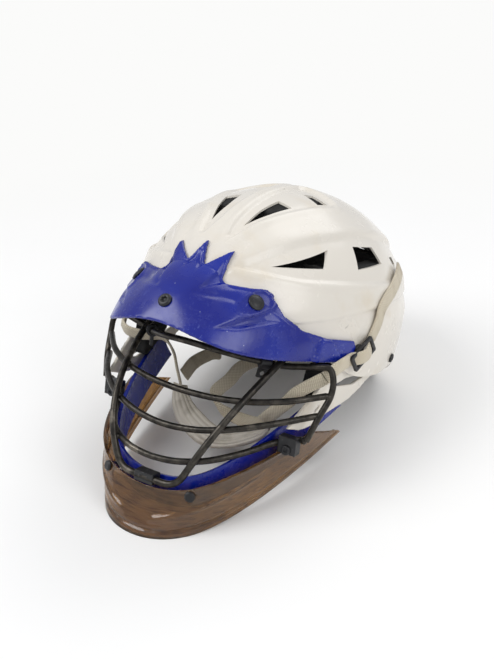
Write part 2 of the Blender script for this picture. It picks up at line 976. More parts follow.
def ball(steps: int) -> tuple[np.ndarray, list[Face]]:
    """An even grid of directions: a cube blown up to a sphere.

    Args:
        steps: Cells along an edge of the cube.

    Returns:
        Unit directions and faces.
    """
    angles = np.tan(np.linspace(-math.pi / 4, math.pi / 4, steps + 1))
    u, v = np.meshgrid(angles, angles, indexing="ij")
    one = np.ones_like(u)
    sides = ((one, u, v), (-one, v, u), (v, one, u), (u, -one, v), (u, v, one), (v, u, -one))
    points = np.concatenate([np.stack(side, axis=-1).reshape(-1, 3) for side in sides])
    line = steps + 1
    faces = [face for i in range(len(sides)) for face in grid_faces(line, line, start=i * line**2)]
    return unit(points), faces


# Shell


@dataclass
class Shell:
    """The moulded shell with its recessed bands and vents."""

    bench: Bench
    wall: float = 4.0
    recess: float = 2.2
    recess_edge: float = 4.0
    ridge: float = 0.9
    ridge_width: float = 3.4
    rest_pitch: float = 17.1
    brow_share: float = 0.1
    overrun: float = 6.0
    outer_steps: int = 125
    inner_steps: int = 46
    curve_steps: int = 6
    pocket_steps: int = 5
    rim_steps: int = 8
    crease_depth: float = 1.6
    crease_rise: float = 1.5
    crease_run: float = 9.0
    hard_angle: float = 42.0
    band_start_share: float = 0.25
    rim_shares: tuple[Share, ...] = (
        (-0.73, 0.0), (-0.547, -0.112), (-0.43, -0.224), (-0.26, -0.336), (0.0, -0.383),
        (0.235, -0.374), (0.404, -0.449), (0.573, -0.579), (0.70, -0.654))
    band_upper_shares: tuple[Share, ...] = (
        (-0.84, 0.481), (-0.717, 0.576), (-0.573, 0.652), (-0.417, 0.695), (-0.254, 0.715),
        (-0.072, 0.72), (0.248, 0.66), (0.521, 0.56), (0.684, 0.467))
    band_lower_shares: tuple[Share, ...] = (
        (0.684, 0.467), (0.521, 0.374), (0.195, 0.355), (-0.202, 0.393), (-0.476, 0.416),
        (-0.651, 0.43), (-0.84, 0.481))
    side_vent_shares: tuple[tuple[Share, ...], ...] = (
        ((-0.719, 0.496), (-0.393, 0.622), (-0.47, 0.496)),
        ((-0.193, 0.640), (0.007, 0.622), (0.037, 0.50), (-0.243, 0.482)),
        ((0.222, 0.523), (0.287, 0.514), (0.30, 0.458), (0.248, 0.449)))
    pocket_shares: tuple[Share, ...] = (
        (0.10, -0.745), (0.07, -0.65), (0.062, -0.50), (0.058, -0.30), (0.062, -0.065),
        (0.106, 0.052), (0.41, -0.026), (0.39, -0.195), (0.32, -0.39), (0.212, -0.586), (0.14, -0.73))
    top_vent_shares: tuple[tuple[Share, ...], ...] = (
        ((0.135, -0.642), (0.22, -0.49), (0.286, -0.341), (0.16, -0.33), (0.137, -0.49)),
        ((0.19, -0.095), (0.356, -0.14), (0.385, -0.058), (0.235, -0.035)))
    rear_vent_shares: tuple[Share, ...] = ((0.16, 0.43), (0.42, 0.39), (0.40, 0.30), (0.20, 0.32))
    crease_shares: tuple[Share, ...] = (
        (-0.76, 0.108), (-0.675, 0.121), (-0.536, 0.138), (-0.365, 0.161), (-0.13, 0.189),
        (0.257, 0.21), (0.60, 0.20))

    def relief(self, points: np.ndarray) -> np.ndarray:
        """Depth below the outer form at each point.

        Args:
            points: Worn points of the outer form.

        Returns:
            Depths in millimetres.
        """
        head, away = self.bench.head, 4 * self.recess_edge
        tables = (self.band_upper_shares, self.band_lower_shares, self.crease_shares)
        upper, lower, crease = (head.from_shares(shares, "yz") for shares in tables)
        band = np.vstack((smooth_line(upper, self.curve_steps),
                          smooth_line(lower, self.curve_steps)[1:-1]))
        side = line_distance(points[:, 1:], band, closed=True)
        side = np.where(np.abs(points[:, 0]) > self.band_start_share * head.half_width, side, away)
        pocket = head.from_shares((*self.pocket_shares, self.pocket_shares[0]), "xy")
        pocket = smooth_line(pocket, self.pocket_steps)[:-1]
        top = line_distance(folded(points[:, :2]), pocket, closed=True)
        edge = np.minimum(side, np.where(points[:, 2] > 0, top, away))
        deep = smooth_step(0.5 - edge / self.recess_edge)
        step = line_distance(points[:, 1:], smooth_line(crease, self.curve_steps))
        above = points[:, 2] > np.interp(points[:, 1], *crease.T)
        fold = np.where(above, bell(step, self.crease_rise), bell(step, self.crease_run))
        ridge = bell(edge - self.recess_edge, self.ridge_width)
        return self.recess * deep - self.ridge * ridge + self.crease_depth * fold

    def rim_outline(self) -> np.ndarray:
        """Side view of everything under the rim line."""
        head = self.bench.head
        far, low = 2 * head.half_length, -2 * head.skirt
        rim = smooth_line(head.from_shares(self.rim_shares, "yz"), self.rim_steps)
        nape = rim[-1]
        rest = nape[1] + (far - nape[0]) * math.tan(math.radians(self.rest_pitch))
        brow = self.brow_share * head.crown
        front = rim[0][0] - self.overrun
        return np.vstack((rim, ((far, rest), (far, low), (-far, low), (-far, brow), (front, brow))))

    def build(self) -> None:
        """Build and dress the shell."""
        bench, head = self.bench, self.bench.head
        skins = []
        for steps, inner in ((self.outer_steps, False), (self.inner_steps, True)):
            directions, faces = ball(steps)
            points = head.from_directions(directions, -self.wall if inner else 0.0)
            if not inner:
                points = points - head.gap(points)[1] * self.relief(points)[:, None]
            skin = outward(new_piece("skin", bench.pose.rows(points), faces))
            if inner:
                skin.data.flip_normals()
            skins.append(skin)
        piece = joined("shell_skin", skins)
        far = 2 * head.half_length
        tools = [bench.prism(self.rim_outline(), "x", -far, far)]
        for shares in self.side_vent_shares:
            tools.append(bench.prism(head.from_shares(shares, "yz"), "x", -far, far))
        for side, _ in SIDES:
            for shares in self.top_vent_shares:
                tools.append(bench.prism(head.from_shares(shares, "xy") * (side, 1), "z", 0, far))
            rear = head.from_shares(self.rear_vent_shares, "xz") * (side, 1)
            tools.append(bench.prism(rear, "y", 0, far))
        piece = carved(piece, tools)
        piece.data.shade_smooth()
        piece.data.set_sharp_from_angle(angle=math.radians(self.hard_angle))
        bench.dress(piece, Slot.SHELL, stands_for=["shell"])


# Visor


@dataclass
class Visor:
    """Crown plate with spikes, side arms and the bill, in one moulding."""

    bench: Bench
    wall: float = 3.0
    lift: float = 0.4
    half_width: float = 105.0
    top_height: float = 50.0
    brim_reach: float = 184.0
    brim_height: float = 9.5
    brim_sweep: float = 120.0
    brim_drop: float = 27.5
    brim_sweep_shares: Point = (0.11, 1.39, -0.5)
    brim_drop_shares: Share = (1.9, -0.9)
    bill_crown: float = 7.0
    crown_loss: float = 0.6
    crown_lean: float = 0.8
    bill_share: float = 0.98
    root_share: float = 0.955
    root_power: float = 1.4
    bill_columns: int = 97
    bill_rows: int = 33
    layer_steps: int = 72
    notch_depth: float = 7.5
    notch_place: float = 34.0
    notch_width: float = 11.0
    voxel: float = 1.15
    passes: int = 5
    front_shares: tuple[Share, ...] = (
        (0.0, 0.617), (0.07, 0.453), (0.217, 0.58), (0.23, 0.36), (0.504, 0.35), (0.549, 0.318),
        (0.57, 0.224), (0.59, 0.11), (0.35, 0.11))
    facet_points: tuple[tuple[Share, ...], ...] = (
        ((23.0, 57.0), (32.0, 39.5), (27.0, 37.5), (17.5, 34.0)),
        ((0.0, 62.0), (8.5, 48.5), (6.5, 45.5), (0.0, 52.0)),
        ((41.0, 11.0), (53.0, 19.5), (58.5, 24.0), (60.5, 28.5), (67.0, 22.5), (73.0, 15.5),
         (65.5, 13.5), (56.0, 10.5)))
    facet_slope: float = 0.75
    facet_depths: tuple[float, ...] = (2.2, 1.6, 2.6)
    brow_crease_points: tuple[Share, ...] = ((17.5, 33.0), (29.6, 32.0), (42.3, 31.0), (47.0, 29.0))
    crease_depth: float = 1.0
    crease_width: float = 2.0
    crease_steps: int = 6
    cap_place: Share = (56.0, 28.5)
    ring_radius: float = 9.0
    ring_width: float = 1.6
    ring_rise: float = 0.9
    facing_full: float = 0.5
    settle_end: float = 1.6
    settle_scale: float = 0.5
    arm_shares: tuple[Share, ...] = (
        (-0.808, 0.318), (-0.775, 0.187), (-0.697, 0.084), (-0.56, 0.019), (-0.375, -0.019),
        (-0.362, -0.15), (-0.489, -0.168), (-0.651, -0.131), (-0.782, 0.0), (-0.85, 0.14))

    def top_line(self, x: float) -> Point:
        """The bill's root on the dome."""
        share = min(abs(x) / self.half_width, 1)
        notch = self.notch_depth * bell(abs(x) - self.notch_place, self.notch_width)
        z = self.top_height / 2 * (1 + math.cos(math.pi * share**self.root_power)) - notch
        return (x, -self.bench.head.reach(x, z, self.lift + self.wall), z)

    def brim_line(self, x: float) -> Point:
        """The bill's front edge."""
        s = (x / self.half_width) ** 2
        a, b, c = self.brim_sweep_shares
        d, e = self.brim_drop_shares
        y = -self.brim_reach + self.brim_sweep * (a * s + b * s**2 + c * s**4)
        return (x, y, self.brim_height - self.brim_drop * (d * s + e * s**2))

    def bill_point(self, x: float, v: float) -> np.ndarray:
        """A point of the bill's upper face, v from its root to its brim."""
        root, tip = np.array(self.top_line(x * self.root_share)), np.array(self.brim_line(x))
        rise = self.bill_crown * (1 - self.crown_loss * (x / self.half_width) ** 2)
        middle = (root + tip) / 2 + np.array((0, -self.crown_lean * rise, rise))
        return (1 - v) ** 2 * root + 2 * v * (1 - v) * middle + v * v * tip

    def bill(self) -> Piece:
        """The bill as a closed sheet."""
        columns = bunched(self.half_width * self.bill_share, self.bill_columns)
        levels = np.linspace(0, 1, self.bill_rows)
        upper = np.array([[self.bill_point(x, v) for v in levels] for x in columns])
        normal = grid_normals(upper)
        normal *= np.sign(normal[:, :, 2:3])
        rows = self.bench.pose.rows
        return slab("bill", rows(upper), rows(upper - self.wall * normal))

    def layer(self) -> Piece:
        """The closed layer on the dome from which the plate and arms are cut."""
        directions, faces = ball(self.layer_steps)
        head, rows = self.bench.head, self.bench.pose.rows
        outer = rows(head.from_directions(directions, self.lift + self.wall))
        inner = rows(head.from_directions(directions, self.lift))
        faces = faces + [tuple(reversed([i + len(outer) for i in face])) for face in faces]
        return outward(new_piece("layer", np.vstack((outer, inner)), faces), turn=False)

    def build(self) -> None:
        """Build and dress the visor."""
        bench, head = self.bench, self.bench.head
        half = head.from_shares(self.front_shares, "xz")
        front = np.vstack((half, half[:0:-1] * (-1, 1)))
        arms = head.from_shares(self.arm_shares, "yz")
        far = 2 * head.half_length
        parts = []
        for outline, view, low, high in ((front, "y", -far, 0), (arms, "x", -far, far)):
            parts.append(carved(self.layer(), [bench.prism(outline, view, low, high)], "INTERSECT"))
        piece = fused("visor_moulding", parts + [self.bill()], self.voxel, self.passes)
        bench.dress(self.faceted(self.on_dome(piece)), Slot.VISOR, stands_for=["visor"])

    def faceted(self, piece: Piece) -> Piece:
        """Press the pockets and creases into the outer face."""
        points = self.bench.pose.worn(places(piece))
        out = normals(piece) @ self.bench.pose.turn
        lean = (out * points).sum(1) / np.linalg.norm(points, axis=1)
        facing = smooth_step(lean / self.facing_full)
        front = folded(points[:, [0, 2]])
        depth = np.zeros(len(points))
        for corners, deepest in zip(self.facet_points, self.facet_depths):
            inside = -line_distance(front, np.array(corners), closed=True)
            depth = np.maximum(depth, np.clip(inside * self.facet_slope, 0, deepest))
        crease = line_distance(front, smooth_line(self.brow_crease_points, self.crease_steps))
        depth = np.maximum(depth, self.crease_depth * bell(crease, self.crease_width))
        ring = np.linalg.norm(front - np.array(self.cap_place), axis=1) - self.ring_radius
        depth = np.where(ring < 0, 0, depth) - self.ring_rise * bell(ring, self.ring_width)
        points -= out * (depth * facing * (points[:, 1] < 0))[:, None]
        set_places(piece, self.bench.pose.rows(points))
        return piece

    def on_dome(self, piece: Piece) -> Piece:
        """Settle the plate's faces on the dome, so that they shine evenly."""
        points = self.bench.pose.worn(places(piece))
        for grow in (self.lift, self.lift + self.wall):
            gap, normal = self.bench.head.gap(points, grow)
            near = smooth_step(self.settle_end - np.abs(gap) / self.settle_scale)
            points -= normal * (gap * near)[:, None]
        set_places(piece, self.bench.pose.rows(points))
        return piece


# Face mask


def bent_path(points: Sequence[Point], steps: int = 7) -> np.ndarray:
    """Runs of a bent wire with a soft turn at each point.

    Args:
        points: Points of the route.
        steps: Pieces in each turn.

    Returns:
        Points along the wire.
    """
    p = np.asarray(points, float)
    out = [p[0]]
    for before, corner, after in zip(p, p[1:], p[2:]):
        run = TURN_SHARE * min(np.linalg.norm(corner - before), np.linalg.norm(after - corner))
        start = corner + (before - corner) / np.linalg.norm(before - corner) * run
        end = corner + (after - corner) / np.linalg.norm(after - corner) * run
        for t in np.linspace(0, 1, steps):
            out.append((1 - t) ** 2 * start + 2 * t * (1 - t) * corner + t * t * end)
    return np.array(out + [p[-1]])


def open_tree(name: str, size_name: str) -> tuple[Tree, bpy.types.Node]:
    """Start a geometry tree with one named size.

    Args:
        name: Name of the tree.
        size_name: Name of its size input.

    Returns:
        The tree and the node that holds its inputs.
    """
    tree = bpy.data.node_groups.new(name, "GeometryNodeTree")
    tree.interface.new_socket("Geometry", in_out="INPUT", socket_type="NodeSocketGeometry")
    tree.interface.new_socket(size_name, in_out="INPUT", socket_type="NodeSocketFloat")
    tree.interface.new_socket("Geometry", in_out="OUTPUT", socket_type="NodeSocketGeometry")
    return tree, add(tree, "NodeGroupInput")


def close_tree(tree: Tree, made: Socket, material: Material) -> None:
    """Realize what a tree makes, give it its material and end the tree.

    Args:
        tree: The geometry tree.
        made: The geometry that it makes.
        material: Its material.
    """
    whole = add(tree, "GeometryNodeRealizeInstances", {"Geometry": made})
    dressed = add(tree, "GeometryNodeSetMaterial",
                  {"Geometry": whole.outputs[0], "Material": material})
    add(tree, "NodeGroupOutput", {"Geometry": dressed.outputs[0]})


def wire_tree(material: Material) -> Tree:
    """A tree that sweeps a round wire along a line of vertices.

    Args:
        material: The wire's material.

    Returns:
        The tree, with a named input for the wire's radius.
    """
    tree, given = open_tree("wire_along_path", "Wire radius")
    path = add(tree, "GeometryNodeMeshToCurve", {"Mesh": given.outputs["Geometry"]})
    ring = add(tree, "GeometryNodeCurvePrimitiveCircle",
               {"Resolution": WIRE_SIDES, "Radius": given.outputs["Wire radius"]})
    swept = add(tree, "GeometryNodeCurveToMesh",
                {"Curve": path.outputs[0], "Profile Curve": ring.outputs[0], "Fill Caps": True})
    close_tree(tree, swept.outputs[0], material)
    return tree


def bead_tree(material: Material) -> Tree:
    """A tree that sets a bead on every vertex.

    Args:
        material: The beads' material.

    Returns:
        The tree, with a named input for the beads' radius.
    """
    tree, given = open_tree("bead_at_weld", "Bead radius")
    bead = add(tree, "GeometryNodeMeshIcoSphere",
               {"Radius": given.outputs["Bead radius"], "Subdivisions": 3})
    size = add(tree, "FunctionNodeRandomValue",
               {"Min": BEAD_SMALLEST, "Max": BEAD_LARGEST, "Seed": 4}, data_type="FLOAT_VECTOR")
    placed = {"Points": given.outputs["Geometry"], "Instance": bead.outputs["Mesh"],
              "Scale": size.outputs[0]}
    beads = add(tree, "GeometryNodeInstanceOnPoints", placed)
    close_tree(tree, beads.outputs[0], material)
    return tree


def grown(piece: Piece, tree: Tree, sizes: Mapping[str, float]) -> Piece:
    """Run a node tree on a piece and keep its mesh.

    Args:
        piece: The object that holds the path or points.
        tree: The geometry tree.
        sizes: Values of its named inputs.

    Returns:
        The same piece with the finished mesh.
    """
    modifier = piece.modifiers.new(tree.name, "NODES")
    modifier.node_group = tree
    by_name = {item.name: item.identifier
               for item in tree.interface.items_tree if item.in_out == "INPUT"}
    for name, value in sizes.items():
        modifier[by_name[name]] = value
    piece = baked(piece)
    piece.data.shade_smooth()
    return piece


@dataclass
class FaceMask:
    """Five welded wires."""

    bench: Bench
    span: float = 100.0
    radius: float = 2.6
    upright_radius: float = 2.8
    bead_radius: float = 3.1
    weld_reach: float = 9.0
    weld_steps: int = 6
    weld_from_middle: float = 2.0
    setback: float = 1.6
    upper_half_width: float = 107.6
    middle_half_width: float = 103.8
    lower_half_width: float = 78.0
    station_shares: tuple[float, ...] = (0.0, 0.3, 0.58, 0.82, 1.0)
    bar_shares: Mapping[str, tuple[Point, Point]] = field(default_factory=lambda: {
        "upper": ((-1.434, 0.132, 0.209), (-0.539, 0.111, 0.012)),
        "middle": ((-1.650, 0.25, 0.281), (-0.773, 0.301, -0.094)),
        "lower": ((-1.778, 0.428, 1.031), (-1.003, 0.256, 0.063))})
    lower_end_share: Point = (0.968, -1.082, -0.765)
    rim_shares: tuple[Point, ...] = (
        (0.0, -1.38, -0.14), (0.25, -1.35, -0.155), (0.48, -1.18, -0.21), (0.68, -0.965, -0.26),
        (0.90, -0.965, -0.205), (1.06, -0.94, -0.175), (1.105, -0.95, -0.28),
        (1.105, -0.965, -0.40), (1.06, -1.05, -0.57), (1.01, -1.10, -0.76))
    upright_shares: tuple[tuple[float, ...], ...] = (
        (0.677, 0.272, 0.12, 0.0), (-0.95, -1.754, -0.972, -0.112), (-0.169, -1.186, 0.0, 0.0))
    upright_stations: tuple[float, ...] = (0.0, 0.13, 0.32, 0.52, 0.73, 1.0)
    u_middle_share: Point = (0.0, -1.783, -1.175)

    def at(self, share: Sequence[float]) -> Point:
        """A point from shares of the mask's span."""
        return tuple(self.span * value for value in share)

    @staticmethod
    def both(half: Sequence[Point]) -> list[Point]:
        """A half route and its mirror image, from right to left."""
        return [(-x, y, z) for x, y, z in reversed(half) if x > 0] + list(half)

    def bar(self, name: str, half_width: float) -> list[Point]:
        """The left half of one bar's route."""
        half = []
        for share in self.station_shares:
            s = share * half_width / self.span
            y, z = (self.span * (a + b * s**2 + c * s**4) for a, b, c in self.bar_shares[name])
            half.append((share * half_width, y + self.setback, z))
        return half

    def upright(self, t: float) -> Point:
        """A point of the left upright, t from brow to chin."""
        mix = t * (1 - t)
        return tuple(self.span * (a * (1 - t) + b * t + c * mix + d * mix * (1 - 2 * t))
                     for a, b, c, d in self.upright_shares)

    def routes(self) -> dict[str, tuple[list[Point], float]]:
        """Every wire's route and radius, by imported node."""
        lower = self.bar("lower", self.lower_half_width) + [self.at(self.lower_end_share)]
        upright = [self.upright(t) for t in reversed(self.upright_stations)]
        u_half = [self.at(self.u_middle_share)] + upright
        return {
            "mask_rim_wire": (self.both([self.at(p) for p in self.rim_shares]), self.radius),
            "mask_bar_upper": (self.both(self.bar("upper", self.upper_half_width)), self.radius),
            "mask_bar_middle": (self.both(self.bar("middle", self.middle_half_width)), self.radius),
            "mask_bar_lower": (self.both(lower), self.radius),
            "mask_u_wire": (self.both(u_half), self.upright_radius),
        }

    def welds(self, paths: Mapping[str, np.ndarray]) -> np.ndarray:
        """Places where two wires touch, at most one on each side of the helmet for each two wires.

        Args:
            paths: Points along every wire.

        Returns:
            Bead centres as worn.
        """
        fine = {name: smooth_line(path, self.weld_steps) for name, path in paths.items()}
        names = list(fine)
        found: list[np.ndarray] = []
        for i, first in enumerate(names):
            for second in names[i + 1:]:
                apart = np.linalg.norm(fine[first][:, None] - fine[second][None], axis=2)
                for side, _ in SIDES:
                    off_middle = fine[first][:, 0:1] * side > self.weld_from_middle
                    masked = np.where(off_middle, apart, np.inf)
                    a, b = np.unravel_index(masked.argmin(), masked.shape)
                    if masked[a, b] < self.weld_reach:
                        found.append((fine[first][a] + fine[second][b]) / 2)
        return np.array(found)

    def build(self) -> None:
        """Build and dress the wires and their weld beads."""
        bench = self.bench
        tree = wire_tree(bench.materials[Slot.METAL])
        paths = {}
        for node, (route, radius) in self.routes().items():
            path = paths[node] = bent_path(route)
            runs = [(i, i + 1) for i in range(len(path) - 1)]
            piece = new_piece(f"{node}_round", bench.pose.rows(path), edges=runs)
            grown(piece, tree, {"Wire radius": radius * MM})
            bench.dress(piece, Slot.METAL, stands_for=[node])
        beads = new_piece("weld_beads", bench.pose.rows(self.welds(paths)))
        grown(beads, bead_tree(bench.materials[Slot.METAL]), {"Bead radius": self.bead_radius * MM})
        bench.dress(beads, Slot.METAL)


# Guards


@dataclass
class Guard:
    """A curved guard between two face curves, swelling between them."""

    bench: Bench
    name: str
    node: str
    slot: Slot
    top: tuple[Point, Point]
    low: tuple[Point, Point]
    half_width: float
    wall: float
    swell: float
    span: float = 100.0
    columns: int = 161
    lines: int = 41
    edge_round: float = 0.9
    relief: Callable[[np.ndarray, np.ndarray], np.ndarray] | None = None

    def build(self) -> None:
        """Build and dress the guard."""
        bench = self.bench
        x, v = bunched(self.half_width, self.columns), np.linspace(0, 1, self.lines)
        s = x / self.span
        edges = []
        for curve in (self.top, self.low):
            y, z = (self.span * (a + b * s**2 + c * s**4) for a, b, c in curve)
            edges.append(np.stack((x, y, z), axis=1))
        grid = edges[0][:, None] + (edges[1] - edges[0])[:, None] * v[None, :, None]
        grid[:, :, 1] -= self.swell * np.sin(math.pi * v)[None]
        normal = forward_normals(grid)
        if self.relief is not None:
            height = self.relief(*np.broadcast_arrays(x[:, None], v[None]))
            grid = grid + normal * height[:, :, None]
        rows = bench.pose.rows
        outer, inner = rows(grid), rows(grid - self.wall * normal)
        for layer in (outer, inner):
            layer[:, :, 2] = np.maximum(layer[:, :, 2], 0.0)
        piece = rounded(slab(self.name, outer, inner), self.edge_round)
        bench.dress(piece, self.slot, stands_for=[self.node])


@dataclass(frozen=True)
class ThroatRelief:
    """The throat guard's long crease, leaf-shaped rib and lip.

    Heights and reaches across are in millimetres, places and widths down the guard in shares of it.
    """

    crease_depth: float = 1.3
    crease_place: float = 0.80
    crease_lean: float = 0.0008
    crease_width: float = 0.035
    leaf_height: float = 1.5
    leaf_place: float = 0.60
    leaf_lean: float = 0.0042
    leaf_pivot: float = 10.0
    leaf_width: float = 0.06
    leaf_start: float = 8.0
    leaf_rise: float = 12.0
    leaf_end: float = 82.0
    leaf_fall: float = 20.0
    lip_height: float = 0.8
    lip_width: float = 0.06

    def __call__(self, x: np.ndarray, v: np.ndarray) -> np.ndarray:
        """Height above the plain guard.

        Args:
            x: Place across the guard, in millimetres.
            v: Place down the guard, from 0 to 1.

        Returns:
            Heights in millimetres.
        """
        across = np.abs(x)
        crease = bell(v - self.crease_place - self.crease_lean * across, self.crease_width)
        place = self.leaf_place - self.leaf_lean * (across - self.leaf_pivot)
        leaf = bell(v - place, self.leaf_width)
        leaf = leaf * smooth_step((across - self.leaf_start) / self.leaf_rise)
        leaf = leaf * smooth_step((self.leaf_end - across) / self.leaf_fall)
        lip = bell(v, self.lip_width)
        return self.leaf_height * leaf + self.lip_height * lip - self.crease_depth * crease


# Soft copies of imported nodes


@dataclass(frozen=True)
class Moulding:
    """How a node's copy is melted: slot, cell size in millimetres, passes and a pad's fill."""

    slot: Slot
    voxel: float
    passes: int
    fill: float | None = None


HEAD_PAD = Moulding(Slot.FOAM, 1.5, 40, 0.8)
MIDDLE_COPIES = {
    "front_pad": HEAD_PAD,
    "crown_pad": HEAD_PAD,
    "rear_pad": HEAD_PAD,
    "chin_clip": Moulding(Slot.FITTING, 0.6, 3),
}
PAIRED_COPIES = {
    "side_pad": HEAD_PAD,
    "jaw_pad": Moulding(Slot.FOAM, 1.4, 30, 0.8),
    "jaw_flap": Moulding(Slot.SHELL, 0.9, 4),
    "brow_clip": Moulding(Slot.FITTING, 0.5, 3),
    "side_clip": Moulding(Slot.FITTING, 0.6, 3),
    "strap_buckle": Moulding(Slot.FITTING, 0.45, 3),
}


@dataclass
class MouldedCopies:
    """Small rigid pieces and pads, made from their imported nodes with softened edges."""

    bench: Bench

    def build(self) -> None:
        """Build and dress the pads, flaps, clips and buckles."""
        kinds = dict(MIDDLE_COPIES)
        for _, name in SIDES:
            kinds |= {f"{stem}_{name}": kind for stem, kind in PAIRED_COPIES.items()}
        for node, kind in kinds.items():
            part = copied(self.bench.nodes[node], "part")
            piece = fused(f"{node}_moulded", [part], kind.voxel, kind.passes)
            self.bench.dress(piece, kind.slot, stands_for=[node])


# Turned fasteners


@dataclass(frozen=True)
class Seat:
    """Where a round fastener stands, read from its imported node."""

    base: np.ndarray
    normal: np.ndarray
    radius: float
    height: float

    @classmethod
    def of(cls, node: Piece, outwards: np.ndarray) -> Seat:
        """Fit a disc to a node.

        Args:
            node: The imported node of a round, low piece.
            outwards: A direction on the side of its head.

        Returns:
            The seat.
        """
        unique = np.unique(np.round(places(node), 6), axis=0)
        middle = unique.mean(0)
        normal = np.linalg.svd(unique - middle)[2][2]
        normal = normal * np.sign(normal @ outwards)
        heights = (unique - middle) @ normal
        ring = unique[heights < heights.min() + FOOT_SHARE * np.ptp(heights)]
        centre = (ring.min(0) + ring.max(0)) / 2
        flat = unique - centre - np.outer((unique - centre) @ normal, normal)
        base = centre + normal * (heights.min() - (centre - middle) @ normal)
        return cls(base, normal, float(np.linalg.norm(flat, axis=1).max()), float(np.ptp(heights)))


@dataclass(frozen=True)
class TurnedHead:
    """The profile of a turned head, as shares of its radius and height, from its middle out."""

    profile: tuple[Share, ...]
    lobes: int = 0
    lobe_rings: int = 0
    lobe_depth: float = 0.22
    around: int = 48

    def piece(self, name: str, seat: Seat) -> Piece:
        """Build the head on its seat.

        Args:
            name: Name of the piece.
            seat: Where it stands.

        Returns:
            A closed piece.
        """
        side = np.cross(seat.normal, (0.3, 0.2, 0.9))
        side /= np.linalg.norm(side)
        other = np.cross(seat.normal, side)
        angles = 2 * math.pi * np.arange(self.around) / self.around
        rings = []
        for i, (r, h) in enumerate(self.profile):
            wave = 1 + self.lobe_depth * np.cos(self.lobes * angles) * (0 < i <= self.lobe_rings)
            flat = np.outer(np.cos(angles) * wave, side) + np.outer(np.sin(angles) * wave, other)
            rings.append(seat.base + seat.radius * r * flat + seat.normal * seat.height * h)
        count = len(rings)
        faces = grid_faces(count, self.around, wrap=True)
        last = (count - 1) * self.around
        faces += [tuple(range(self.around)), tuple(range(last, last + self.around))]
        return outward(new_piece(name, np.concatenate(rings), faces))


RECESSED_SCREW = TurnedHead((
    (0.05, 0.30), (0.30, 0.30), (0.34, 0.34), (0.36, 0.80), (0.40, 0.92), (0.62, 1.0), (0.84, 0.86),
    (0.95, 0.6), (1.0, 0.3), (1.0, 0.0), (0.05, 0.0)), lobes=6, lobe_rings=3)
DOMED_CAP = TurnedHead((
    (0.05, 1.0), (0.3, 0.97), (0.55, 0.88), (0.74, 0.72), (0.80, 0.58), (0.84, 0.60), (0.93, 0.55),
    (1.0, 0.34), (1.0, 0.0), (0.05, 0.0)))
SNAP_HEAD = TurnedHead((
    (0.05, 0.70), (0.36, 0.72), (0.44, 0.90), (0.52, 0.98), (0.70, 0.96), (0.80, 0.78),
    (0.92, 0.66), (1.0, 0.46), (1.0, 0.1), (0.96, 0.0), (0.05, 0.0)))


@dataclass
class Fasteners:
    """Screws, caps and snaps."""

    bench: Bench

    def build(self) -> None:
        """Build and dress every turned fastener."""
        kinds = {"visor_centre_screw": (RECESSED_SCREW, (0, 0, 1))}
        for side, name in SIDES:
            kinds[f"visor_cap_{name}"] = (DOMED_CAP, (0, 0, 1))
            kinds[f"strap_snap_{name}"] = (SNAP_HEAD, (side, 0, 0))
            kinds[f"rear_snap_{name}"] = (SNAP_HEAD, (-side, 0, 0))
            kinds[f"flap_screw_{name}"] = (RECESSED_SCREW, (side, 0, 0))
            kinds[f"side_clip_screw_{name}"] = (RECESSED_SCREW, (0, -1, 0))
        for node, (shape, direction) in kinds.items():
            seat = Seat.of(self.bench.nodes[node], np.array(direction, float))
            self.bench.dress(shape.piece(f"{node}_head", seat), Slot.FITTING, stands_for=[node])
        for _, name in SIDES:
            node = self.bench.nodes[f"throat_screw_{name}"]
            node.data.materials.clear()
            node.data.materials.append(self.bench.materials[Slot.FITTING])


# Chin strap


